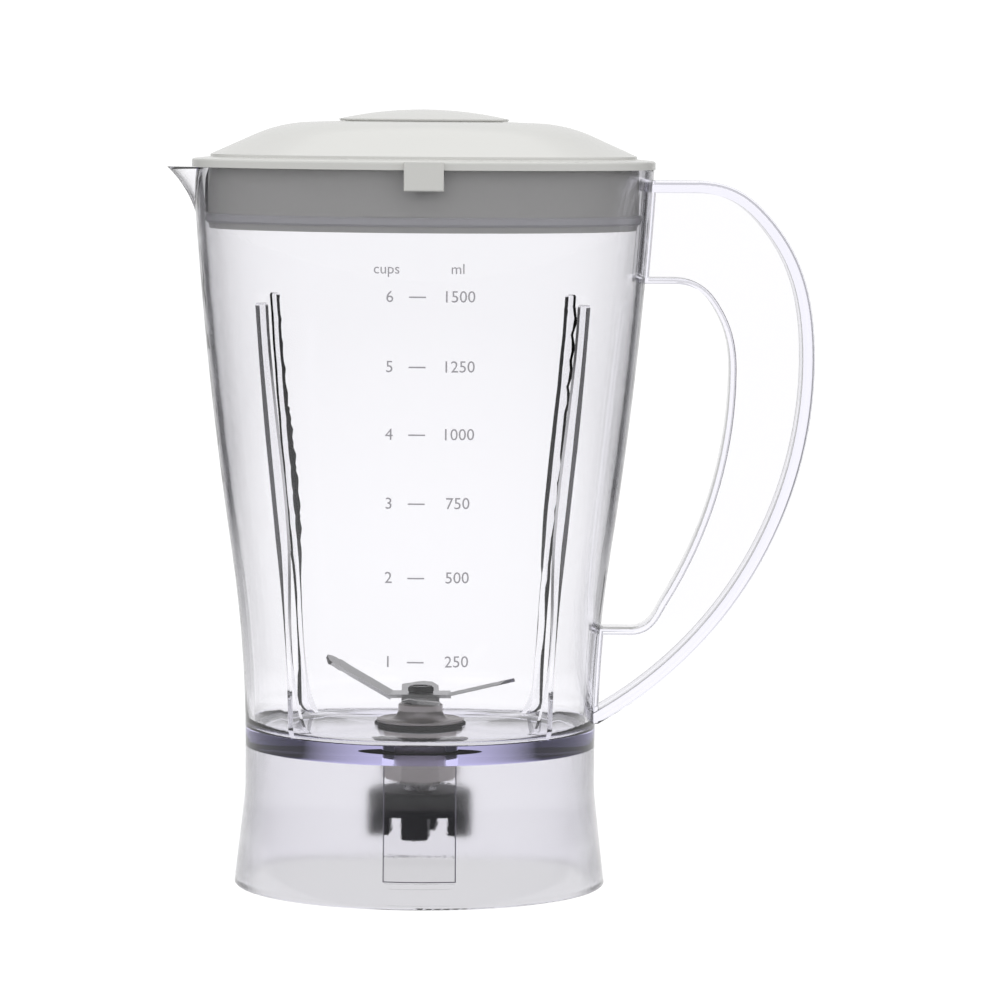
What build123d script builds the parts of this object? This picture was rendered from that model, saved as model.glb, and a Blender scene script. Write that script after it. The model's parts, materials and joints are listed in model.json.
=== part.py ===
from build123d import *
import math
import os

# Countertop blender jug: clear jug with handle and skirt, screwed-in blade unit, lid and filler cap.
# Millimetres. Origin on the jug's axis at the plane it stands on, +Z up.
# The handle points to +X and the spout to -X.

# ---- Jug wall ----
rim_height = 225.8
rim_radius = 72.3
knee_radius = 59.7
waist_radius = 55.2
wall = 2.6
rim_edge_radius = 0.8

# ---- Floor and skirt ----
floor_top = 49.5
floor_thickness = 5.7
waist_rise = 1.2
knee_rise = 55.5
floor_corner_radius = 4.0
flare_height = 29.6
flare_bend_radius = 60.0
base_radius = 58.6
base_edge_radius = 0.9
skirt_wall = 2.8
socket_radius = 54.6
socket_depth = 12.0

# ---- Clear window and plain panel in the skirt's outer face ----
window_half_width = 10.7
window_bottom = 8.0
window_head = 0.8
window_depth = 0.6
panel_half_width = 9.5
panel_bottom = 1.4
panel_top = 6.4
panel_depth = 0.35

# ---- Spout ----
spout_throat = 10.3
spout_overhang = 8.2
spout_drop = 14.5
spout_wall = 2.2

# ---- Ribs inside the jug ----
rib_angle = 42.0
rib_height = 3.0
rib_thickness = 2.2
rib_drop = 40.8
rib_foot = 5.5
rib_foot_rise = 9.0
rib_bury = 1.0

# ---- Handle ----
handle_top_drop = 3.2
handle_top_run = 13.7
handle_shoulder_run = 36.3
handle_shoulder_drop = 14.0
handle_overhang = 51.1
handle_reach_drop = 59.8
handle_bottom_rise = 2.1
handle_root_run = 1.2
outer_flange_thickness = 3.8
outer_flange_width = 19.0
outer_flange_edge = 2.1
inner_flange_thickness = 1.9
inner_flange_width = 15.0
inner_flange_edge = 1.2
web_thickness = 3.2
gap_top_drop = 35.5
gap_top_bend = 18.0
gap_overhang = 24.7
gap_reach_drop = 62.8
gap_heel_run = 21.5
gap_heel_rise = 41.7
gap_bottom_rise = 32.1
gap_bottom_run = 11.8
root_pad = 1.4

# ---- Blade unit, fixed pieces ----
stem_radius = 8.0
stem_length = 10.8
stem_play = 0.25
seal_thickness = 1.1
seal_radius = 14.5
flange_radius = 13.8
flange_thickness = 1.3
post_radius = 7.0
post_rise = 7.7
post_cone_rise = 5.1
bearing_bore = 5.5
seat_clearance = 0.02
washer_radius = 13.4
washer_thickness = 1.4
steel_washer_radius = 12.4
steel_washer_thickness = 1.0
nut_across_flats = 20.4
nut_height = 8.0
nut_thread_play = 0.05
bush_length = 7.0
lip_seal_length = 3.2
lip_seal_gap = 0.06

# ---- Rotor ----
shaft_radius = 3.0
running_clearance = 0.03
shaft_tail = 13.5
spindle_radius = 2.5
spacer_radius = 4.0
rotor_end_play = 0.2
blade_seat_rise = 2.2
blade_thickness = 1.1
blade_swing = 30.0
blade_hub_radius = 6.0
blade_root = 9.6
blade_width = 12.0
blade_tip_width = 7.0
steep_wing_angle = 30.0
shallow_wing_angle = 13.0
cross_wing_angle = 5.0
cross_swing = 28.0
wing_pitch = 6.0
cutting_bevel = 2.2
lock_washer_thickness = 0.5
lock_washer_radius = 3.9
blade_nut_across_flats = 7.0
blade_nut_height = 1.7
thrust_washer_thickness = 0.7
thrust_washer_radius = 6.4
circlip_thickness = 0.8
circlip_radius = 4.6
circlip_groove = 2.6
circlip_opening = 60.0
coupling_radius = 16.4
coupling_thickness = 8.0
coupling_edge_radius = 1.2
coupling_hub_radius = 7.6
tooth_count = 4
tooth_drop = 7.0
tooth_inner_radius = 9.4
tooth_width = 8.4
tooth_turn = -6.0
tooth_edge_radius = 0.9
insert_across_flats = 10.0
insert_length = 9.0

# ---- Lid ----
lid_lip_height = 2.6
lid_seat_gap = 0.1
lid_ledge = 5.8
lid_ledge_rise = 0.6
lid_shell = 2.0
lid_rise = 14.6
lid_crown_fall = 0.6
lid_cone_rise = 4.1
lid_shoulder_inset = 27.5
lid_shoulder_bend = 46.0
lid_skirt_depth = 18.8
lid_skirt_gap = 0.9
lid_skirt_lead = 0.8
lid_skirt_lead_height = 2.2
tab_width = 12.0
tab_drop = 6.2
tab_thickness = 2.0
tab_gap = 0.45
tab_taper = 0.9
tab_edge_radius = 0.6
seal_groove_rise = 1.9
seal_groove_height = 2.8
seal_groove_depth = 0.8
lid_seal_gap = 0.25

# ---- Filler cap ----
cap_radius = 26.6
cap_rim_height = 0.7
cap_crown_rise = 3.8
cap_gap = 0.3
cap_seat_gap = 0.1
cap_seal_groove = 1.0
cap_seal_height = 2.4
cap_seal_drop = 9.1
cap_seal_gap = 0.1
cap_shell = 1.8
plug_radius = 24.6
plug_depth = 13.6
collar_wall = 1.8
collar_depth = 12.1

# ---- Heights and reaches that follow from the sizes above ----
floor_bottom = floor_top - floor_thickness
waist_height = floor_bottom + waist_rise
knee_height = floor_top + knee_rise
rib_top = rim_height - rib_drop
window_top = floor_bottom - window_head
spout_axis_x = spout_throat - rim_radius
spout_reach = rim_radius + spout_overhang
handle_top = rim_height - handle_top_drop
handle_top_start = rim_radius + handle_top_run
handle_shoulder_x = rim_radius + handle_shoulder_run
handle_shoulder_height = rim_height - handle_shoulder_drop
handle_reach = rim_radius + handle_overhang
handle_reach_height = rim_height - handle_reach_drop
handle_bottom = floor_top + handle_bottom_rise
handle_root_x = waist_radius + handle_root_run
gap_top = rim_height - gap_top_drop
gap_reach = rim_radius + gap_overhang
gap_reach_height = rim_height - gap_reach_drop
gap_heel_x = waist_radius + gap_heel_run
gap_heel_height = floor_top + gap_heel_rise
gap_bottom = floor_top + gap_bottom_rise
gap_bottom_start = waist_radius + gap_bottom_run
stem_bottom = floor_bottom - stem_length
post_top = floor_top + post_rise
post_cone_height = floor_top + post_cone_rise
shaft_bottom = stem_bottom - shaft_tail
blade_seat = post_top + blade_seat_rise
lid_top = rim_height + lid_rise
lid_shoulder_radius = rim_radius - lid_shoulder_inset
lid_shoulder_height = lid_top - lid_crown_fall
lid_cone_height = rim_height + lid_cone_rise
lid_skirt_bottom = rim_height - lid_skirt_depth
tab_bottom = rim_height - tab_drop
seal_groove_bottom = lid_skirt_bottom + seal_groove_rise
cap_crown = lid_top + cap_crown_rise
cap_seal_bottom = lid_top - cap_seal_drop
plug_bottom = lid_top - plug_depth
collar_bottom = lid_top - collar_depth


def wall_curve(inset):
    """The jug wall's line from waist to rim, moved inwards by inset."""
    waist = (waist_radius - inset, waist_height)
    knee = (knee_radius - inset, knee_height)
    rim = (rim_radius - inset, rim_height)
    lower = TangentArc(waist, knee, tangent=(0, 1))
    upper = TangentArc(knee, rim, tangent=lower % 1)
    return lower, upper


def wall_radius(z, inset=0.0):
    """Radius of the wall line at height z, which lies between waist and rim."""
    lower, upper = wall_curve(inset)
    arc = lower if z < knee_height else upper
    near, far = 0.0, 1.0
    for _ in range(40):
        middle = (near + far) / 2
        if (arc @ middle).Y < z:
            near = middle
        else:
            far = middle
    return (arc @ near).X


def skirt_curve(inset):
    """The skirt's line from the base to the waist, moved inwards by inset."""
    return FilletPolyline(
        (base_radius - inset, 0),
        (waist_radius - inset, flare_height),
        (waist_radius - inset, waist_height),
        radius=flare_bend_radius,
    )


def revolved(*edges):
    """Solid of revolution about Z; in the outline X is the radius and Y is the height."""
    return revolve(Plane.XZ * make_face(Curve() + list(edges)), Axis.Z)


def body_of_revolution(inset):
    """The jug's outer form, moved inwards by inset, as a solid without hollows."""
    lower, upper = wall_curve(inset)
    skirt = skirt_curve(inset)
    return revolved(
        skirt,
        lower,
        upper,
        Polyline((rim_radius - inset, rim_height), (0, rim_height), (0, 0), (base_radius - inset, 0)),
    )


def ring(inner, outer, low, high):
    """A flat-ended ring about Z."""
    tube = Cylinder(outer, high - low, align=(Align.CENTER, Align.CENTER, Align.MIN))
    bore = Cylinder(inner, high - low, align=(Align.CENTER, Align.CENTER, Align.MIN))
    return Pos(0, 0, low) * (tube - bore)


def slab(x_low, x_high, y_half, z_low, z_high):
    """A box between two X values and two heights, centred on Y."""
    size = (x_high - x_low, 2 * y_half, z_high - z_low)
    return Pos(x_low, 0, z_low) * Box(*size, align=(Align.MIN, Align.CENTER, Align.MIN))


def cavity():
    """The space inside the jug, open at the rim."""
    lower, upper = wall_curve(wall)
    inner_floor = waist_radius - wall
    outline = [
        Polyline((inner_floor, waist_height), (inner_floor, floor_bottom), (0, floor_bottom)),
        Polyline((0, floor_bottom), (0, rim_height), (rim_radius - wall, rim_height)),
        lower,
        upper,
    ]
    space = revolved(*outline)
    cut_off = Pos(0, 0, floor_top) * Box(300, 300, 100, align=(Align.CENTER, Align.CENTER, Align.MAX))
    space = space - cut_off
    floor_edge = space.faces().sort_by(Axis.Z)[0].edges()
    return fillet(floor_edge, floor_corner_radius)


def skirt_hollow():
    """The space under the floor, with a straight socket at its mouth."""
    top_radius = waist_radius - skirt_wall
    outline = Polyline(
        (0, 0),
        (socket_radius, 0),
        (socket_radius, socket_depth),
        (top_radius, flare_height),
        (top_radius, floor_bottom),
        (0, floor_bottom),
        close=True,
    )
    space = revolve(Plane.XZ * make_face(outline), Axis.Z)
    return space


def spout_form(inset):
    """A flared cone about its own upright axis, moved inwards by inset."""
    top_radius = spout_reach + spout_axis_x - inset
    foot_height = rim_height - spout_drop
    foot_radius = wall_radius(foot_height) + spout_axis_x - inset
    side = TangentArc((foot_radius, foot_height), (top_radius, rim_height), tangent=(0.32, 1))
    outline = [
        side,
        Polyline((top_radius, rim_height), (0, rim_height), (0, foot_height), (foot_radius, foot_height)),
    ]
    return Pos(spout_axis_x, 0, 0) * revolved(*outline)


def rib():
    """One baffle rib that stands in from the wall, in the +X half of the XZ plane."""
    root = wall - rib_bury
    tip = wall + rib_height
    low = floor_top - rib_bury
    root_radii = [(wall_radius(z, root), z) for z in (rib_top, knee_height)]
    tip_radii = [(wall_radius(z, tip), z) for z in (knee_height, rib_top)]
    foot_x = wall_radius(floor_top + rib_foot_rise, tip)
    outer_low = waist_radius - root
    foot_end = foot_x - rib_foot
    outline = [
        Spline((outer_low, low), root_radii[1], root_radii[0], tangents=[(0, 1), wall_curve(root)[1] % 1]),
        Line(root_radii[0], tip_radii[1]),
        Spline(
            tip_radii[1],
            tip_radii[0],
            (foot_x, floor_top + rib_foot_rise),
            (foot_end, low),
            tangents=[(wall_curve(tip)[1] % 1) * -1, (-1, -0.5)],
        ),
        Line((foot_end, low), (outer_low, low)),
    ]
    plate = extrude(Plane.XZ * make_face(Curve() + outline), rib_thickness / 2, both=True)
    crown = plate.faces().sort_by(Axis.Z)[-1]
    sides = [edge for edge in crown.edges() if abs((edge % 0.5).Y) < 0.5]
    return fillet(sides, rib_thickness / 2 - 0.15)


def handle_outline(inset):
    """Face inside the handle's outer line, moved inwards by inset and closed through the jug."""
    top = handle_top - inset
    reach = (handle_reach - inset, handle_reach_height)
    rise = handle_reach_height - handle_bottom
    run = handle_reach - handle_root_x
    radius = (run**2 + rise**2) / (2 * run)
    low_x = handle_root_x - inset * (radius - run) / radius
    low_z = handle_bottom + inset * rise / radius
    shoulder = (handle_shoulder_x - 0.6 * inset, handle_shoulder_height - 0.8 * inset)
    top_curve = Spline((handle_top_start, top), shoulder, reach, tangents=[(1, 0), (0, -1)])
    sweep_down = TangentArc(reach, (low_x, low_z), tangent=(0, -1))
    closing = Polyline((low_x, low_z), (0, low_z), (0, top), (handle_top_start, top))
    return make_face(Curve() + [top_curve, sweep_down, closing])


def finger_gap(grow):
    """Face of the finger opening, closed through the jug, grown outwards by grow."""
    reach = (gap_reach + grow, gap_reach_height)
    run = gap_reach - gap_heel_x
    rise = gap_reach_height - gap_heel_height
    radius = (run**2 + rise**2) / (2 * run)
    heel = (gap_heel_x + grow * (radius - run) / radius, gap_heel_height - grow * rise / radius)
    long_side = TangentArc(reach, heel, tangent=(0, -1))
    top_start = (gap_reach - gap_top_bend, gap_top + grow)
    top_shoulder = (gap_reach - 4.6 + 0.6 * grow, gap_top - 8.5 + 0.8 * grow)
    shoulder = Spline(top_start, top_shoulder, reach, tangents=[(1, 0), (0, -1)])
    low_end = (gap_bottom_start, gap_bottom - grow)
    heel_curve = Spline(heel, low_end, tangents=[long_side % 1, (-1, -0.06)])
    closing = Polyline(low_end, (0, low_end[1]), (0, top_start[1]), top_start)
    return make_face(Curve() + [long_side, shoulder, heel_curve, closing])


def plate(face, width, edge_radius=0.0):
    """A face in the XZ plane made into a plate centred on Y, with its outline edges rounded."""
    solid = extrude(Plane.XZ * face, width / 2, both=True)
    if edge_radius:
        flat = solid.faces().filter_by(Axis.Y)
        solid = fillet(flat.edges(), edge_radius)
    return solid


def handle():
    """The C-shaped handle: two flanges on a web, with root pads on the wall."""
    inside = waist_radius - wall - 12
    keep = slab(inside, 200, 60, 0, 300)
    full = handle_outline(0)
    gap = finger_gap(0)
    outer_flange = plate(full, outer_flange_width, outer_flange_edge)
    outer_flange = outer_flange - plate(handle_outline(outer_flange_thickness), outer_flange_width + 2)
    inner_block = plate(finger_gap(inner_flange_thickness), inner_flange_width, inner_flange_edge)
    web = plate(handle_outline(outer_flange_thickness / 2), web_thickness)
    pad_form = body_of_revolution(-root_pad)
    top_pad = pad_form & slab(0, 200, inner_flange_width / 2, gap_top, handle_top)
    bottom_pad = pad_form & slab(0, 200, inner_flange_width / 2, handle_bottom, gap_bottom)
    solid = outer_flange + inner_block + web + top_pad + bottom_pad
    solid = solid - plate(gap, outer_flange_width + 10)
    return (solid & keep) - body_of_revolution(0)


def skirt_pocket(half_width, low, high, depth):
    """A shallow pocket in the front of the skirt that follows its wall."""
    front = Pos(0, -base_radius, low) * Box(
        2 * half_width, base_radius, high - low, align=(Align.CENTER, Align.CENTER, Align.MIN)
    )
    return front - body_of_revolution(depth)


def below(height):
    """Everything up to that height."""
    return Pos(0, 0, height) * Box(400, 400, 400, align=(Align.CENTER, Align.CENTER, Align.MAX))


def jug_wall():
    """Clear wall with the floor, the spout and the four ribs."""
    solid = body_of_revolution(0) + spout_form(0)
    solid = solid - cavity() - spout_form(spout_wall) - below(floor_bottom)
    solid = solid - upright(stem_radius + stem_play, 0, rim_height)
    for angle in (rib_angle, 180 - rib_angle, 180 + rib_angle, -rib_angle):
        solid = solid + Rot(0, 0, angle) * rib()
    return solid


def jug_skirt():
    """The skirt under the floor, moulded in one with the wall, with a window and a panel."""
    solid = body_of_revolution(0) & below(floor_bottom)
    solid = fillet(solid.faces().sort_by(Axis.Z)[0].edges(), base_edge_radius)
    solid = solid - skirt_hollow()
    solid = solid - skirt_pocket(window_half_width, window_bottom, window_top, window_depth)
    return solid - skirt_pocket(panel_half_width, panel_bottom, panel_top, panel_depth)


# Heights of the blade unit's stack.
flange_bottom = floor_top + seal_thickness
flange_top = flange_bottom + flange_thickness
washer_bottom = floor_bottom - washer_thickness
steel_washer_bottom = washer_bottom - steel_washer_thickness
lip_seal_top = post_top - 0.3
upper_bush_top = lip_seal_top - lip_seal_length - 0.2
spacer_bottom = post_top + rotor_end_play
lower_blade_bottom = blade_seat - blade_thickness
upper_blade_top = blade_seat + blade_thickness
lock_washer_top = upper_blade_top + lock_washer_thickness
blade_nut_top = lock_washer_top + blade_nut_height
thrust_washer_top = stem_bottom - rotor_end_play
circlip_top = thrust_washer_top - thrust_washer_thickness
circlip_bottom = circlip_top - circlip_thickness
coupling_top = circlip_bottom - 0.8
coupling_bottom = coupling_top - coupling_thickness
insert_bottom = coupling_top - insert_length
spindle_flats = 2 * spindle_radius - 1.2


def turned(*points):
    """Solid of revolution about Z of a closed outline of (radius, height) points."""
    return revolve(Plane.XZ * make_face(Polyline(*points, close=True)), Axis.Z)


def upright(radius, low, high):
    return Pos(0, 0, low) * Cylinder(radius, high - low, align=(Align.CENTER, Align.CENTER, Align.MIN))


def double_d(radius, flats, low, high):
    """An upright spindle form with two flats."""
    return upright(radius, low, high) & slab(-2 * radius, 2 * radius, flats / 2, low, high)


def hexagon(across_flats, low, high):
    """A hexagon about Z with its upper corners turned off."""
    corner = across_flats / math.sqrt(3)
    prism = Pos(0, 0, low) * extrude(RegularPolygon(corner, 6), high - low)
    rise = high - low
    cone = Cone(corner + rise - 0.6, corner - 0.6, rise, align=(Align.CENTER, Align.CENTER, Align.MIN))
    return prism & (Pos(0, 0, low) * cone)


def bearing_post():
    """Metal post: flange on the seal, hollow stem down through the floor for the nut."""
    foot = (flange_radius - 1.2, flange_top)
    flare = TangentArc((post_radius, post_cone_height), foot, tangent=(0.12, -1))
    outline = Polyline(
        foot,
        (flange_radius, flange_top - 0.5),
        (flange_radius, flange_bottom),
        (stem_radius, flange_bottom),
        (stem_radius, stem_bottom),
        (bearing_bore, stem_bottom),
        (bearing_bore, post_top),
        (post_radius - 0.5, post_top),
        (post_radius, post_top - 0.5),
        (post_radius, post_cone_height),
    )
    return revolved(flare, outline)


def floor_seal():
    inner = stem_radius + stem_play
    high = floor_top + seal_thickness
    return turned(
        (inner, floor_top),
        (seal_radius, floor_top),
        (seal_radius, high - 0.4),
        (seal_radius - 0.4, high),
        (inner, high),
    )


def bush(top):
    return ring(shaft_radius + running_clearance, bearing_bore - seat_clearance, top - bush_length, top)


def drive_shaft():
    """Shaft with a circlip groove and a double-D spindle for the blades."""
    body = turned(
        (0, shaft_bottom),
        (shaft_radius - 0.5, shaft_bottom),
        (shaft_radius, shaft_bottom + 0.5),
        (shaft_radius, circlip_bottom),
        (circlip_groove, circlip_bottom),
        (circlip_groove, circlip_top),
        (shaft_radius, circlip_top),
        (shaft_radius, spacer_bottom),
        (0, spacer_bottom),
    )
    return body + double_d(spindle_radius, spindle_flats, spacer_bottom, blade_nut_top - 0.3)


def on_spindle(solid, low, high):
    """Cuts the spindle's double-D hole, with a fitting clearance."""
    flats = spindle_flats + 2 * seat_clearance
    return solid - double_d(spindle_radius + seat_clearance, flats, low - 1, high + 1)


def wing(length, tip_width):
    """One flat wing along +X with a slanted end and its leading edge ground to a bevel."""
    half = blade_width / 2
    end = FilletPolyline(
        (0, -half),
        (length - 5, -half),
        (length, half - tip_width),
        (length - 1.5, half),
        (0, half),
        radius=1,
    )
    flat = extrude(make_face(Curve() + [end, Line((0, half), (0, -half))]), blade_thickness)
    rise = blade_thickness - 0.15
    wedge = Polyline(
        (-half - 1, 0.15 - rise / cutting_bevel),
        (-half + cutting_bevel, 0.15 + rise),
        (-half - 1, 4),
        close=True,
    )
    grinding = extrude(Plane.YZ * make_face(wedge), 2 * length)
    return flat - grinding


def blade(angle_plus, angle_minus, bottom, swing, tip_width):
    """A two-winged blade along X: flat hub, wings bent up and pitched like a propeller's."""
    solid = slab(-blade_root, blade_root, blade_width / 2, bottom, bottom + blade_thickness)
    for turn, angle in ((0, angle_plus), (180, angle_minus)):
        length = (swing - blade_root) / math.cos(math.radians(angle)) + 0.4
        bend = Pos(blade_root - 0.4, 0, bottom) * Rot(0, -angle, 0) * Rot(-wing_pitch, 0, 0)
        bent = bend * wing(length, tip_width)
        solid = solid + Rot(0, 0, turn) * (bent & slab(blade_root - 0.9, 60, 30, 0, 100))
    return solid


def circlip():
    """Split ring for the shaft's groove, open towards +X."""
    solid = ring(circlip_groove + seat_clearance, circlip_radius, circlip_bottom, circlip_top)
    reach = 2 * circlip_radius
    half = math.radians(circlip_opening / 2)
    spread = reach * math.tan(half)
    opening = Polyline((0, 0), (reach, spread), (reach, -spread), close=True)
    return solid - Pos(0, 0, circlip_bottom - 1) * extrude(make_face(opening), circlip_thickness + 2)


def coupling_insert():
    block = hexagon(insert_across_flats, insert_bottom, coupling_top)
    return block - upright(shaft_radius + seat_clearance, insert_bottom - 1, coupling_top + 1)


def drive_coupling():
    """Moulded disc with teeth hanging from its rim and a hub round the hexagonal insert."""
    disc = upright(coupling_radius, coupling_bottom, coupling_top)
    disc = fillet(disc.faces().sort_by(Axis.Z)[-1].edges(), coupling_edge_radius)
    hub = upright(coupling_hub_radius, insert_bottom, coupling_bottom)
    tooth_low = coupling_bottom - tooth_drop
    solid = disc + hub
    for turn in range(tooth_count):
        block = slab(tooth_inner_radius, coupling_radius + 5, tooth_width / 2, tooth_low, coupling_bottom)
        block = block & upright(coupling_radius, tooth_low, coupling_bottom)
        block = fillet(block.faces().sort_by(Axis.Z)[0].edges(), tooth_edge_radius)
        solid = solid + Rot(0, 0, tooth_turn + turn * 360 / tooth_count) * block
    corner = insert_across_flats / math.sqrt(3) + seat_clearance
    socket = Pos(0, 0, insert_bottom - 1) * extrude(RegularPolygon(corner, 6), insert_length + 2)
    return solid - socket


def lid_moulding():
    """Rigid lid: lip on the jug's rim, dome, filler hole with a collar, skirt and two tabs."""
    lip_bottom = rim_height + lid_seat_gap
    lip_top = lip_bottom + lid_lip_height
    lip_radius = rim_radius + 0.35
    ledge_radius = lip_radius - lid_ledge
    hole = plug_radius + cap_gap
    skirt_outer = wall_radius(lid_skirt_bottom, wall) - lid_skirt_gap
    skirt_inner = skirt_outer - lid_shell
    slope = (lid_shoulder_height - lid_cone_height) / (ledge_radius - lid_shoulder_radius)
    under_cone = lid_cone_height + (ledge_radius - skirt_inner) * slope - lid_shell
    top = FilletPolyline(
        (cap_radius + 0.6, lid_top),
        (lid_shoulder_radius, lid_shoulder_height),
        (ledge_radius, lid_cone_height),
        radius=lid_shoulder_bend,
    )
    lip = FilletPolyline(
        (ledge_radius, lip_top + lid_ledge_rise),
        (lip_radius, lip_top),
        (lip_radius, lip_bottom),
        radius=0.8,
    )
    outline = [
        top,
        Line((ledge_radius, lid_cone_height), (ledge_radius, lip_top + lid_ledge_rise)),
        lip,
        Polyline(
            (lip_radius, lip_bottom),
            (skirt_outer, lip_bottom),
            (skirt_outer, lid_skirt_bottom + lid_skirt_lead_height),
            (skirt_outer - lid_skirt_lead, lid_skirt_bottom),
            (skirt_inner, lid_skirt_bottom),
            (skirt_inner, under_cone),
            (lid_shoulder_radius, lid_shoulder_height - lid_shell),
            (hole + collar_wall, lid_top - lid_shell),
            (hole + collar_wall, collar_bottom),
            (hole, collar_bottom),
            (hole, lid_top),
            (cap_radius + 0.6, lid_top),
        ),
    ]
    solid = revolved(*outline)
    groove_top = seal_groove_bottom + seal_groove_height
    solid = solid - ring(skirt_outer - seal_groove_depth, skirt_outer + 2, seal_groove_bottom, groove_top)
    tab_inner = rim_radius + tab_gap
    tab_outer = tab_inner + tab_thickness
    for turn in (-90, 90):
        hanging = slab(tab_inner, tab_outer, tab_width / 2, tab_bottom, lip_top - 0.2)
        joining = slab(ledge_radius, tab_outer, tab_width / 2, lip_bottom, lip_top - 0.2)
        tab = hanging + joining
        low_edges = tab.faces().sort_by(Axis.Z)[0].edges().filter_by(Axis.Y)
        outer_edges = tab.faces().sort_by(Axis.X)[-1].edges().filter_by(Axis.Z)
        tab = fillet(outer_edges + low_edges.sort_by(Axis.X)[-1:], tab_edge_radius)
        solid = solid + Rot(0, 0, turn) * tab
    return solid


def lid_skirt_zone():
    """The room that the lid's skirt takes, up to the underside of its lip."""
    outer = wall_radius(lid_skirt_bottom, wall) - lid_skirt_gap
    return ring(outer - lid_shell - 1, outer + 1, lid_skirt_bottom - 1, rim_height + lid_seat_gap)


def lid_collar_zone():
    """The room that the collar round the filler hole takes, up to the dome's underside."""
    outer = plug_radius + cap_gap + collar_wall + 1
    return upright(outer, collar_bottom - 1, lid_shoulder_height - lid_shell)


def lid_seal():
    """Rubber ring in the lid skirt's groove, with a rounded outer side."""
    skirt_outer = wall_radius(lid_skirt_bottom, wall) - lid_skirt_gap
    inner = skirt_outer - seal_groove_depth + seat_clearance
    outer = wall_radius(seal_groove_bottom, wall) - lid_seal_gap
    low = seal_groove_bottom + seat_clearance
    high = seal_groove_bottom + seal_groove_height - seat_clearance
    return turned(
        (inner, low),
        (outer - 0.5, low),
        (outer, low + 0.6),
        (outer, high - 0.6),
        (outer - 0.5, high),
        (inner, high),
    )


def filler_cap():
    """Hollow plug with a domed top that rests on the lid."""
    seat = lid_top + cap_seat_gap
    rim_top = seat + cap_rim_height
    groove_top = cap_seal_bottom + cap_seal_height
    inner = plug_radius - cap_shell
    crown = TangentArc((0, cap_crown), (cap_radius, rim_top), tangent=(1, 0))
    ceiling = TangentArc((0, cap_crown - cap_shell), (inner, seat - 0.6), tangent=(1, 0))
    outline = [
        crown,
        Polyline(
            (cap_radius, rim_top),
            (cap_radius, seat + 0.4),
            (cap_radius - 0.4, seat),
            (plug_radius, seat),
            (plug_radius, groove_top),
            (plug_radius - cap_seal_groove, groove_top),
            (plug_radius - cap_seal_groove, cap_seal_bottom),
            (plug_radius, cap_seal_bottom),
            (plug_radius, plug_bottom + 0.8),
            (plug_radius - 0.8, plug_bottom),
            (inner, plug_bottom),
            (inner, seat - 0.6),
        ),
        ceiling,
        Line((0, cap_crown - cap_shell), (0, cap_crown)),
    ]
    return revolved(*outline)


def cap_seal():
    inner = plug_radius - cap_seal_groove + seat_clearance
    outer = plug_radius + cap_gap - cap_seal_gap
    low = cap_seal_bottom + seat_clearance
    high = cap_seal_bottom + cap_seal_height - seat_clearance
    return turned(
        (inner, low),
        (outer - 0.4, low),
        (outer, low + 0.7),
        (outer, high - 0.7),
        (outer - 0.4, high),
        (inner, high),
    )


def parts():
    """Every separate piece by its name."""
    stem_bore = stem_radius + stem_play
    return {
        "jug_wall": jug_wall(),
        "jug_skirt": jug_skirt(),
        "jug_handle": handle(),
        "floor_seal": floor_seal(),
        "bearing_post": bearing_post(),
        "floor_washer": ring(stem_bore, washer_radius, washer_bottom, floor_bottom),
        "steel_washer": ring(stem_bore, steel_washer_radius, steel_washer_bottom, washer_bottom),
        "retaining_nut": Pos(0, 0, 2 * steel_washer_bottom - nut_height)
        * Rot(180, 0, 0)
        * (
            hexagon(nut_across_flats, steel_washer_bottom - nut_height, steel_washer_bottom)
            - upright(stem_radius + nut_thread_play, 0, rim_height)
        ),
        "lip_seal": ring(
            shaft_radius + lip_seal_gap,
            bearing_bore - seat_clearance,
            lip_seal_top - lip_seal_length,
            lip_seal_top,
        ),
        "upper_bush": bush(upper_bush_top),
        "lower_bush": bush(stem_bottom + bush_length),
        "drive_shaft": drive_shaft(),
        "blade_spacer": on_spindle(
            upright(spacer_radius, spacer_bottom, lower_blade_bottom), spacer_bottom, lower_blade_bottom
        ),
        "blade_lower": on_spindle(
            Rot(0, 0, 90)
            * blade(cross_wing_angle, cross_wing_angle, lower_blade_bottom, cross_swing, blade_tip_width),
            lower_blade_bottom,
            blade_seat,
        ),
        "blade_upper": on_spindle(
            blade(shallow_wing_angle, steep_wing_angle, blade_seat, blade_swing, blade_tip_width),
            blade_seat,
            upper_blade_top,
        ),
        "lock_washer": ring(
            spindle_radius + seat_clearance, lock_washer_radius, upper_blade_top, lock_washer_top
        ),
        "blade_nut": hexagon(blade_nut_across_flats, lock_washer_top, blade_nut_top)
        - upright(spindle_radius + seat_clearance, 0, rim_height),
        "thrust_washer": ring(
            shaft_radius + seat_clearance, thrust_washer_radius, circlip_top, thrust_washer_top
        ),
        "circlip": circlip(),
        "coupling_insert": coupling_insert(),
        "drive_coupling": drive_coupling(),
        "lid": lid_moulding() - lid_skirt_zone() - lid_collar_zone(),
        "lid_skirt": lid_moulding() & lid_skirt_zone(),
        "lid_collar": lid_moulding() & lid_collar_zone(),
        "lid_seal": lid_seal(),
        "filler_cap": filler_cap(),
        "cap_seal": cap_seal(),
    }


os.makedirs("parts", exist_ok=True)
for name, solid in parts().items():
    shape = solid if len(solid.solids()) != 1 else solid.solids()[0]
    shape.label = name
    export_step(shape, f"parts/{name}.step")
    box = shape.bounding_box()
    print(name, len(solid.solids()), round(shape.volume, 2), shape.is_valid, box.min, box.max)
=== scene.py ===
import json
import math

import bpy
from mathutils import Matrix, Vector

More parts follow.
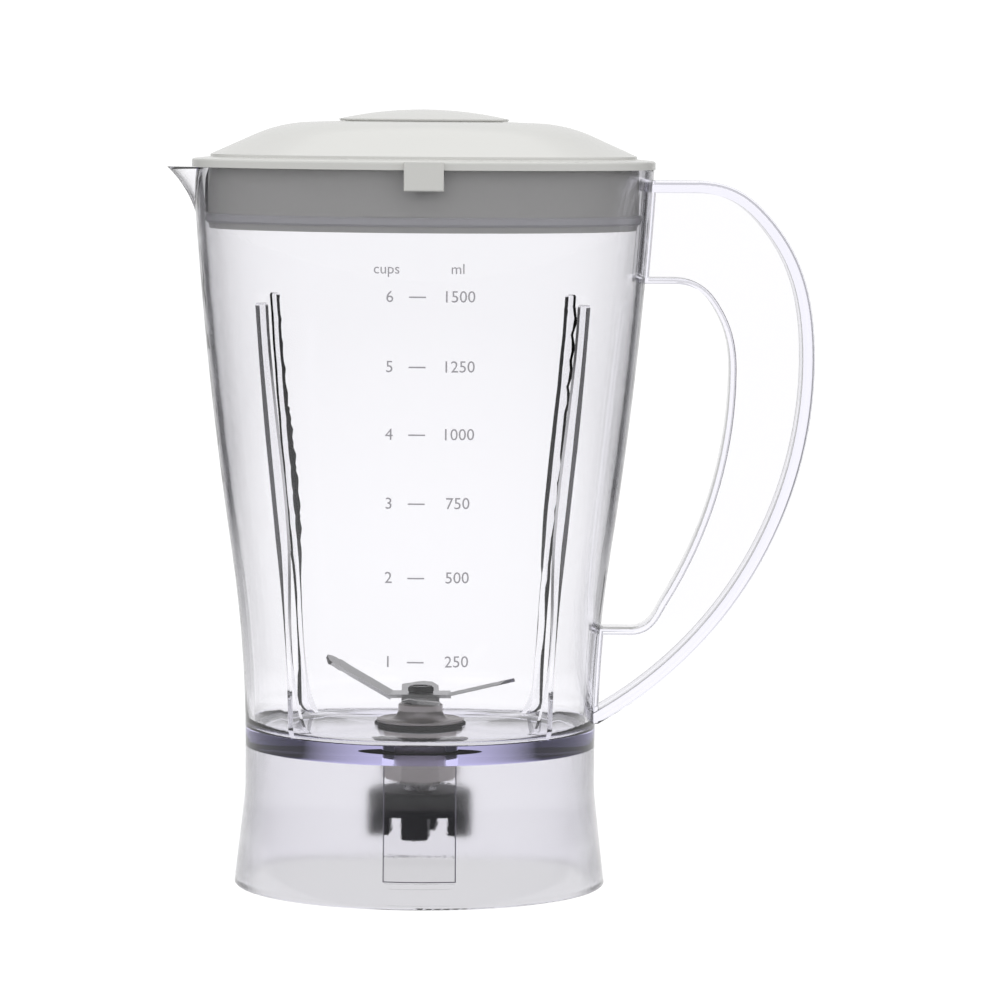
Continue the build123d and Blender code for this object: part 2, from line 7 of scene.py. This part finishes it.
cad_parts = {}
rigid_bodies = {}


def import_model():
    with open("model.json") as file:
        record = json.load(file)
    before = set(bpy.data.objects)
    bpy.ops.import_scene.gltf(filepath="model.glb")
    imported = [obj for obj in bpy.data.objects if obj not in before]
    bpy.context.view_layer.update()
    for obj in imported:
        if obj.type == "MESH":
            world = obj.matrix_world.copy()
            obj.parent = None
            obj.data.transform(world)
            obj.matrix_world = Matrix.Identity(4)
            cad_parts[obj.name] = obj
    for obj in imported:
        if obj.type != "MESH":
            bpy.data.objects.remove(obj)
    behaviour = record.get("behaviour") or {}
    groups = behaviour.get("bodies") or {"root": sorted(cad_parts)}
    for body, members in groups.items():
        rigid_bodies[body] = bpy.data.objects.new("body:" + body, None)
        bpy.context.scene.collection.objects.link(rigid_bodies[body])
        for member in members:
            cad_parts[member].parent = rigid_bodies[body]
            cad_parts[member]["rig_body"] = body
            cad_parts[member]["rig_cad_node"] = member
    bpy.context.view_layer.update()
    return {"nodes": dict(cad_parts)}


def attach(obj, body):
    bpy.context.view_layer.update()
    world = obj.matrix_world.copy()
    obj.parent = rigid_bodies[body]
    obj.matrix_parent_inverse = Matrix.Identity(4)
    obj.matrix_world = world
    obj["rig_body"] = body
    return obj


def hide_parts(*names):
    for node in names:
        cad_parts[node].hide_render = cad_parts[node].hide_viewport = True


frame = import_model()
nodes = frame["nodes"]
mm = 0.001
print("frame loaded:", len(nodes), "CAD pieces")


# Selecting and finishing pieces

meshCare = {
    "mergeDistance": 0.01 * mm,
    "sliverSize": 0.001 * mm,
    "copyAngle": math.radians(28),  # edges sharper than this stay hard on a CAD node's copy
    "skinAngle": math.radians(40),  # and on the joined skin
}


def selectOnly(*things):
    for thing in bpy.data.objects:
        thing.select_set(False)
    for thing in things:
        thing.select_set(True)
    bpy.context.view_layer.objects.active = things[0]


def enterEdit(thing):
    # edit mode with the whole mesh selected
    selectOnly(thing)
    bpy.ops.object.mode_set(mode="EDIT")
    bpy.ops.mesh.select_all(action="SELECT")


def leaveEdit(angle):
    bpy.ops.object.mode_set(mode="OBJECT")
    bpy.ops.object.shade_smooth_by_angle(angle=angle)


def applyModifiers(thing):
    selectOnly(thing)
    for modifier in list(thing.modifiers):
        bpy.ops.object.modifier_apply(modifier=modifier.name)


def settle(thing):
    # the object goes to the origin and its place goes into its mesh
    selectOnly(thing)
    bpy.ops.object.transform_apply(location=True, rotation=True, scale=True)


def mergedCopy(node, name):
    # a merged and smooth copy of a CAD node
    selectOnly(nodes[node])
    bpy.ops.object.duplicate()
    piece = bpy.context.view_layer.objects.active
    piece.name = name
    piece.parent = None
    piece.matrix_world = Matrix.Identity(4)
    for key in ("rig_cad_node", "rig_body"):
        if key in piece:
            del piece[key]
    enterEdit(piece)
    bpy.ops.mesh.remove_doubles(threshold=meshCare["mergeDistance"])
    bpy.ops.mesh.customdata_custom_splitnormals_clear()
    leaveEdit(meshCare["copyAngle"])
    return piece


def joinTo(piece, other):
    # one closed skin from two pieces that overlap or touch
    union = piece.modifiers.new("union", "BOOLEAN")
    union.operation = "UNION"
    union.solver = "EXACT"
    union.object = other
    applyModifiers(piece)
    bpy.data.objects.remove(other)


# Shader maths as Python expressions

class Value:
    def __init__(self, tree, socket):
        self.tree = tree
        self.socket = socket

    def maths(self, operation, other=None, swap=False):
        sockets = {0: self.socket}
        if other is not None:
            sockets[1] = other.socket if isinstance(other, Value) else other
        if swap:
            sockets = {0: sockets[1], 1: sockets[0]}
        return self.tree.add("ShaderNodeMath", {"operation": operation}, sockets)

    def __add__(self, other):
        return self.maths("ADD", other)

    def __sub__(self, other):
        return self.maths("SUBTRACT", other)

    def __mul__(self, other):
        return self.maths("MULTIPLY", other)

    def __truediv__(self, other):
        return self.maths("DIVIDE", other)

    def __pow__(self, other):
        return self.maths("POWER", other)

    def __lt__(self, other):
        return self.maths("LESS_THAN", other)

    def __gt__(self, other):
        return self.maths("GREATER_THAN", other)

    def __rsub__(self, other):
        return self.maths("SUBTRACT", other, swap=True)

    def __abs__(self):
        return self.maths("ABSOLUTE")

    __radd__ = __add__
    __rmul__ = __mul__


class Finish:
    # a material whose nodes are written as expressions
    def __init__(self, name, **fixed):
        self.material = bpy.data.materials.new(name)
        self.material.use_nodes = True
        self.nodes = self.material.node_tree.nodes
        self.links = self.material.node_tree.links
        self.shader = self.nodes["Principled BSDF"]
        for socket, value in fixed.items():
            self.shader.inputs[socket.replace("_", " ")].default_value = value

    def add(self, kind, settings=None, sockets=None, output=0):
        node = self.nodes.new(kind)
        for key, value in (settings or {}).items():
            setattr(node, key, value)
        for key, value in (sockets or {}).items():
            if isinstance(value, Value):
                value = value.socket
            if isinstance(value, bpy.types.NodeSocket):
                self.links.new(value, node.inputs[key])
            else:
                node.inputs[key].default_value = value
        return Value(self, node.outputs[output])

    def place(self, coordinates="Object"):
        # a point of the surface, whole and as its X, Y and Z
        point = self.add("ShaderNodeTexCoord", output=coordinates)
        split = self.nodes.new("ShaderNodeSeparateXYZ")
        self.links.new(point.socket, split.inputs[0])
        return point, [Value(self, split.outputs[axis]) for axis in range(3)]

    def noise(self, scale, detail=3.0, stretch=(1, 1, 1)):
        point, _ = self.place()
        mapped = self.add("ShaderNodeMapping", sockets={"Vector": point, "Scale": stretch})
        return self.add(
            "ShaderNodeTexNoise", sockets={"Vector": mapped, "Scale": scale, "Detail": detail}
        )

    def mixColour(self, share, low, high):
        sockets = {0: share, 6: (*low, 1.0), 7: (*high, 1.0)}  # the factor and the two colours
        return self.add("ShaderNodeMix", {"data_type": "RGBA"}, sockets, output=2)

    def ramp(self, value, start, end, low=0.0, high=1.0):
        sockets = {"Value": value, "From Min": start, "From Max": end, "To Min": low, "To Max": high}
        return self.add("ShaderNodeMapRange", sockets=sockets)

    def feed(self, socket, value):
        self.links.new(value.socket, self.shader.inputs[socket])

    def feedOutput(self, socket, value):
        self.links.new(value.socket, self.nodes["Material Output"].inputs[socket])

    def bump(self, height, distance):
        return self.add("ShaderNodeBump", sockets={"Height": height, "Distance": distance})


def paint(finish, *things):
    for thing in things:
        thing.data.materials.clear()
        thing.data.materials.append(finish.material)


# Clear plastic of the jug

clearLook = {
    "ior": 1.46,
    "roughness": 0.012,
    "tint": (0.985, 0.983, 0.99),
    "absorption": (0.5, 0.45, 0.92),
    "density": 9.0,
    "gripBury": 0.4 * mm,        # how far the handle goes into the wall
}
skirtLook = {
    "roughness": 0.2,            # of the textured inner face
    "clarity": 0.95,
    "tint": (0.84, 0.832, 0.868),
    "grainScale": 1500.0,
    "grainDetail": 2.0,
    "grainDepth": 0.02 * mm,
    "windowHalf": 10.7 * mm,
    "windowBottom": 8.3 * mm,
    "windowTint": (0.72, 0.71, 0.75),
    "line": 0.32 * mm,           # outline of the window
    "lineTint": (0.2, 0.19, 0.23),
    "lineRoughness": 0.4,
    "top": 43.6 * mm,            # underside of the floor
    "inwards": -0.3,             # a face that turns to the axis at least this much is an inner one
}


def jugFinish():
    # clear, but for the skirt's inner face, which is textured except for a window in the front
    finish = Finish(
        "ClearPlastic",
        Base_Color=(*clearLook["tint"], 1.0),
        Roughness=clearLook["roughness"],
        Transmission_Weight=1.0,
        IOR=clearLook["ior"],
    )
    depth = finish.add(
        "ShaderNodeVolumeAbsorption",
        sockets={"Color": (*clearLook["absorption"], 1.0), "Density": clearLook["density"]},
    )
    finish.feedOutput("Volume", depth)
    look = skirtLook
    _, (x, y, z) = finish.place()
    inside = finish.add("ShaderNodeAttribute", {"attribute_name": "frosted"}, output=2)
    across = abs(x) - look["windowHalf"]
    under = look["windowBottom"] - z
    front = y < 0.0
    window = (across < 0.0) * front * (under < 0.0)
    outline = (across < look["line"]) * front * (under < look["line"]) * (1.0 - window)
    grain = finish.noise(look["grainScale"], look["grainDetail"])
    frost = finish.add(
        "ShaderNodeBsdfPrincipled",
        sockets={
            "Base Color": finish.mixColour(window, look["tint"], look["windowTint"]),
            "Roughness": (1.0 - window) * look["roughness"] + clearLook["roughness"],
            "IOR": clearLook["ior"],
            "Transmission Weight": look["clarity"],
            "Normal": finish.bump(grain, look["grainDepth"]),
        },
    )
    line = finish.add(
        "ShaderNodeBsdfPrincipled",
        sockets={"Base Color": (*look["lineTint"], 1.0), "Roughness": look["lineRoughness"]},
    )
    clear = Value(finish, finish.shader.outputs[0])
    textured = finish.add("ShaderNodeMixShader", sockets={0: outline, 1: frost, 2: line})
    skin = finish.add("ShaderNodeMixShader", sockets={0: inside, 1: clear, 2: textured})
    finish.feedOutput("Surface", skin)
    return finish


jug = mergedCopy("jug_wall", "ClearJug")
skirt = mergedCopy("jug_skirt", "skirtHelper")
grip = mergedCopy("jug_handle", "gripHelper")
grip.data.transform(Matrix.Translation((-clearLook["gripBury"], 0, 0)))
joinTo(jug, skirt)
joinTo(jug, grip)
enterEdit(jug)
bpy.ops.mesh.dissolve_degenerate(threshold=meshCare["sliverSize"])
leaveEdit(meshCare["skinAngle"])
paint(jugFinish(), jug)
frosted = jug.data.attributes.new("frosted", "FLOAT", "FACE")
for face in jug.data.polygons:
    outward = Vector((face.center.x, face.center.y, 0)).normalized()
    turnedIn = face.normal.dot(outward) < skirtLook["inwards"]
    inSkirt = face.center.z < skirtLook["top"]
    frosted.data[face.index].value = 1.0 if inSkirt and turnedIn else 0.0
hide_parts("jug_wall", "jug_skirt", "jug_handle")
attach(jug, "jug")
print("jug done")


# Lid and filler cap

lidLook = {
    "colour": (0.64, 0.64, 0.62),
    "darker": (0.6, 0.6, 0.58),
    "patches": 18.0,
    "ior": 1.49,
    "coatRoughness": 0.05,
    "roughness": 0.17,
    "roughnessSpread": 0.06,
    "marks": 240.0,
    "detail": 2.0,
}
lidPlastic = Finish("LidPlastic", IOR=lidLook["ior"], Coat_Roughness=lidLook["coatRoughness"])
patches = lidPlastic.noise(lidLook["patches"], lidLook["detail"])
lidMarks = lidPlastic.noise(lidLook["marks"], lidLook["detail"])
lidPlastic.feed("Base Color", lidPlastic.mixColour(patches, lidLook["darker"], lidLook["colour"]))
lidPlastic.feed("Roughness", lidMarks * lidLook["roughnessSpread"] + lidLook["roughness"])
paint(lidPlastic, *(nodes[name] for name in ("lid", "lid_skirt", "lid_collar", "filler_cap")))
print("lid done")


# Seals, washer and coupling

matteLook = {
    "PaleRubber": {
        "colour": (0.62, 0.62, 0.64), "roughness": 0.55, "specular": 0.5,
        "grainScale": 900.0, "grainDepth": 0.06 * mm,
        "pieces": ("lid_seal", "cap_seal"),
    },
    "BlackRubber": {
        "colour": (0.006, 0.006, 0.008), "roughness": 0.6, "specular": 0.2,
        "grainScale": 700.0, "grainDepth": 0.05 * mm,
        "pieces": ("floor_seal", "floor_washer", "lip_seal"),
    },
    "CouplingPlastic": {
        "colour": (0.006, 0.006, 0.008), "roughness": 0.42, "specular": 0.2,
        "grainScale": 500.0, "grainDepth": 0.04 * mm,
        "pieces": ("drive_coupling",),
    },
    "WasherPlastic": {
        "colour": (0.7, 0.7, 0.68), "roughness": 0.5, "specular": 0.5,
        "grainScale": 600.0, "grainDepth": 0.04 * mm,
        "pieces": ("thrust_washer",),
    },
}
for name, look in matteLook.items():
    finish = Finish(
        name,
        Base_Color=(*look["colour"], 1.0),
        Roughness=look["roughness"],
        Specular_IOR_Level=look["specular"],
    )
    finish.feed("Normal", finish.bump(finish.noise(look["grainScale"]), look["grainDepth"]))
    paint(finish, *(nodes[piece] for piece in look["pieces"]))
print("seals, washer and coupling done")


# Blades, shaft and post

grainLook = {
    "scale": 420.0,
    "detail": 4.0,
    "depth": 0.02 * mm,
    "roughnessSpread": 0.25,
    "roughnessDrop": 0.12,
}
turned = (1, 1, 14)              # how the grain is drawn out on turned parts
rolled = (1, 12, 12)             # and on sheet
metalLook = {
    "TurnedMetal": {
        "colour": (0.5, 0.47, 0.46), "roughness": 0.32, "grain": turned,
        "pieces": ("bearing_post", "retaining_nut"),
    },
    "PlainSteel": {
        "colour": (0.55, 0.55, 0.56), "roughness": 0.3, "grain": turned,
        "pieces": ("drive_shaft", "blade_spacer", "circlip", "steel_washer", "coupling_insert"),
    },
    # painted shade: the nut and lock washer are near-black, standing in for the shade and dark
    # reflection around the hub
    "PaintedShadeSteel": {
        "colour": (0.06, 0.06, 0.065), "roughness": 0.35, "grain": turned,
        "pieces": ("blade_nut", "lock_washer"),
    },
    "BladeSteel": {
        "colour": (0.62, 0.62, 0.62), "roughness": 0.3, "grain": rolled,
        "pieces": ("blade_lower", "blade_upper"),
    },
    "SinteredBronze": {
        "colour": (0.5, 0.36, 0.2), "roughness": 0.5, "grain": turned,
        "pieces": ("upper_bush", "lower_bush"),
    },
}
for name, look in metalLook.items():
    finish = Finish(name, Base_Color=(*look["colour"], 1.0), Metallic=1.0)
    grain = finish.noise(grainLook["scale"], grainLook["detail"], look["grain"])
    smoothest = look["roughness"] - grainLook["roughnessDrop"]
    finish.feed("Roughness", grain * grainLook["roughnessSpread"] + smoothest)
    finish.feed("Normal", finish.bump(grain, grainLook["depth"]))
    paint(finish, *(nodes[piece] for piece in look["pieces"]))
print("blades, shaft and post done")


# Scale print on the wall, facing the front

printLook = {
    "darker": (0.33, 0.32, 0.35),
    "paler": (0.4, 0.39, 0.42),
    "roughness": 0.5,
    "patches": 300.0,
    "rows": (
        (187.8, "6", "1500"),
        (166.6, "5", "1250"),
        (146.0, "4", "1000"),
        (124.9, "3", "750"),
        (102.0, "2", "500"),
        (76.0, "1", "250"),
    ),
    "height": 3.6 * mm,
    "leftX": -10.0 * mm,
    "rightX": 10.9 * mm,
    "dash": (-4.2 * mm, 0.9 * mm),
    "dashWidth": 0.45 * mm,
    "header": (("cups", -11.0 * mm), ("ml", 10.5 * mm)),
    "headerZ": 196.2 * mm,
    "headerHeight": 3.2 * mm,
    "capitals": 0.72,            # height of a figure for a text size of 1
    "curveSteps": 3,
    "dashSteps": 8,
    "startY": -100.0 * mm,       # the print is drawn here and then moved back on to the wall
    "offset": 0.04 * mm,
    "thickness": 0.05 * mm,
}
upright = (math.radians(90), 0, 0)
ink = Finish("ScaleInk", Roughness=printLook["roughness"])
patches = ink.noise(printLook["patches"])
ink.feed("Base Color", ink.mixColour(patches, printLook["darker"], printLook["paler"]))


def inkText(text, x, z, height):
    bpy.ops.object.text_add(location=(x, printLook["startY"], z), rotation=upright)
    words = bpy.context.object
    words.data.body = text
    words.data.align_x = "CENTER"
    words.data.align_y = "CENTER"
    words.data.size = height / printLook["capitals"]
    words.data.resolution_u = printLook["curveSteps"]
    bpy.ops.object.convert(target="MESH")
    return bpy.context.object


def inkDash(z):
    low, high = printLook["dash"]
    bpy.ops.mesh.primitive_grid_add(
        x_subdivisions=printLook["dashSteps"],
        y_subdivisions=1,
        size=1,
        location=((low + high) / 2, printLook["startY"], z),
        rotation=upright,
    )
    dash = bpy.context.object
    dash.scale = (high - low, printLook["dashWidth"], 1)
    return dash


marks = [
    inkText(text, x, printLook["headerZ"], printLook["headerHeight"])
    for text, x in printLook["header"]
]
for row, cups, millilitres in printLook["rows"]:
    marks.append(inkText(cups, printLook["leftX"], row * mm, printLook["height"]))
    marks.append(inkText(millilitres, printLook["rightX"], row * mm, printLook["height"]))
    marks.append(inkDash(row * mm))
for mark in marks:
    settle(mark)
selectOnly(*marks)
bpy.ops.object.join()
scalePrint = bpy.context.object
scalePrint.name = "ScalePrint"
wrap = scalePrint.modifiers.new("wrap", "SHRINKWRAP")
wrap.target = jug
wrap.wrap_method = "PROJECT"
wrap.use_project_y = True
wrap.use_positive_direction = True
wrap.use_negative_direction = False
wrap.offset = printLook["offset"]
thicken = scalePrint.modifiers.new("thicken", "SOLIDIFY")
thicken.thickness = printLook["thickness"]
applyModifiers(scalePrint)
paint(ink, scalePrint)
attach(scalePrint, "jug")
print("scale print done")


# Studio

studioLook = {
    "floorSize": 80.0,
    "floorSquares": 4,
    "floorDrop": 0.4 * mm,
    "white": 1.1,                      # what is seen straight or through the clear plastic
    "table": (1.0, 0.5),               # what polished and matt surfaces get from near the jug
    "tableEdge": (0.25, 0.9),
    "footprint": (0.05, 0.058, 0.74),  # painted shadow: the floor that the skirt covers gives less light
    "sides": 0.03,                     # what polished surfaces reflect from the left and right
    "backdrop": 0.8,                   # and from behind
    "backdropEdge": (0.88, 0.99),      # cosines from the Y axis
    "ceiling": 0.4,
    "ceilingEdge": (0.1, 0.9),         # sines of the angle above level
    "daylight": 1.3,                   # what matt surfaces get from the sides and above
    "piped": 2.5,                      # after more reflections than this it is white again
}


class Stage(Finish):
    # a node tree that only glows, for the floor and the world
    def __init__(self, holder):
        holder.use_nodes = True
        self.nodes = holder.node_tree.nodes
        self.links = holder.node_tree.links

    def surroundings(self, x, y):
        # a white backdrop behind, dark to the left and right
        level = ((x * x + y * y) ** 0.5) + 0.0001  # never zero
        facing = self.ramp(y / level, *studioLook["backdropEdge"])
        return facing * (studioLook["backdrop"] - studioLook["sides"]) + studioLook["sides"]

    def strength(self, glossyGlow, matteGlow):
        # white where it is seen directly, darker where it is met after a reflection
        path = self.nodes.new("ShaderNodeLightPath")
        bounces = Value(self, path.outputs["Glossy Depth"])
        glossy = (bounces > 0.5) * (bounces < studioLook["piped"])
        matte = Value(self, path.outputs["Diffuse Depth"]) > 0.5
        indirect = glossy * (1.0 - matte) * glossyGlow + matte * matteGlow
        return (1.0 - glossy) * (1.0 - matte) * studioLook["white"] + indirect


whiteFloor = bpy.data.materials.new("WhiteFloor")
floorTree = Stage(whiteFloor)
floorTree.nodes.remove(floorTree.nodes["Principled BSDF"])
point, (east, north, _) = floorTree.place()
reach = floorTree.add("ShaderNodeVectorMath", {"operation": "LENGTH"}, {0: point}, output="Value")
near = floorTree.ramp(reach, *studioLook["tableEdge"], 1.0, 0.0)
tableGlow, tableLight = studioLook["table"]
polished = near * tableGlow + (1.0 - near) * floorTree.surroundings(east, north)
# painted shadow under the jug: the glowing floor is dimmed where the skirt stands
inner, outer, shade = studioLook["footprint"]
paintedShadow = floorTree.ramp(reach, inner, outer, shade, 1.0)
floorGlow = floorTree.add(
    "ShaderNodeEmission",
    sockets={"Color": (1, 1, 1, 1), "Strength": floorTree.strength(polished, tableLight) * paintedShadow},
)
floorTree.feedOutput("Surface", floorGlow)
bpy.ops.mesh.primitive_grid_add(
    x_subdivisions=studioLook["floorSquares"],
    y_subdivisions=studioLook["floorSquares"],
    size=studioLook["floorSize"],
    location=(0, 0, -studioLook["floorDrop"]),
)
studioFloor = bpy.context.object
studioFloor.name = "StudioFloor"
studioFloor.data.materials.append(whiteFloor)

world = bpy.data.worlds.new("Studio")
bpy.context.scene.world = world
worldTree = Stage(world)
_, (east, north, up) = worldTree.place("Generated")
height = worldTree.ramp(up, *studioLook["ceilingEdge"])
room = height * studioLook["ceiling"] + (1.0 - height) * worldTree.surroundings(east, north)
worldGlow = worldTree.strength(room, studioLook["daylight"])
background = worldTree.nodes["Background"]
background.inputs["Color"].default_value = (1, 1, 1, 1)
worldTree.links.new(worldGlow.socket, background.inputs["Strength"])

softboxLook = {
    "place": Vector((0.0, 1.1, 1.45)),
    "aim": Vector((0.0, 0.0, 0.2)),
    "size": (0.9, 0.7),
    "power": 0.7,
}
bpy.ops.object.light_add(type="AREA", location=softboxLook["place"])
softbox = bpy.context.object
softbox.name = "TopBack"
softbox.data.shape = "RECTANGLE"
softbox.data.size, softbox.data.size_y = softboxLook["size"]
softbox.data.energy = softboxLook["power"]
beam = softboxLook["aim"] - softboxLook["place"]
softbox.rotation_euler = beam.to_track_quat("-Z", "Y").to_euler()

cameraLook = {
    "distance": 1.572,
    "height": 0.242,
    "lens": 180.0,
    "sensor": 36.0,
    "clipEnd": 200.0,
    "pitch": math.radians(4.38),
    "yaw": math.radians(0.9),
    "roll": math.radians(0.45),
}
bpy.ops.object.camera_add()
camera = bpy.context.object
camera.name = "Camera"
camera.data.lens = cameraLook["lens"]
camera.data.sensor_width = cameraLook["sensor"]
camera.data.clip_end = cameraLook["clipEnd"]
stand = Matrix.Translation((0, -cameraLook["distance"], cameraLook["height"]))
turn = Matrix.Rotation(-cameraLook["yaw"], 4, "Z")
tilt = Matrix.Rotation(math.radians(90) - cameraLook["pitch"], 4, "X")
roll = Matrix.Rotation(cameraLook["roll"], 4, "Z")
camera.matrix_world = stand @ turn @ tilt @ roll
bpy.context.scene.camera = camera
bpy.context.scene.view_settings.view_transform = "Standard"
print("studio done")
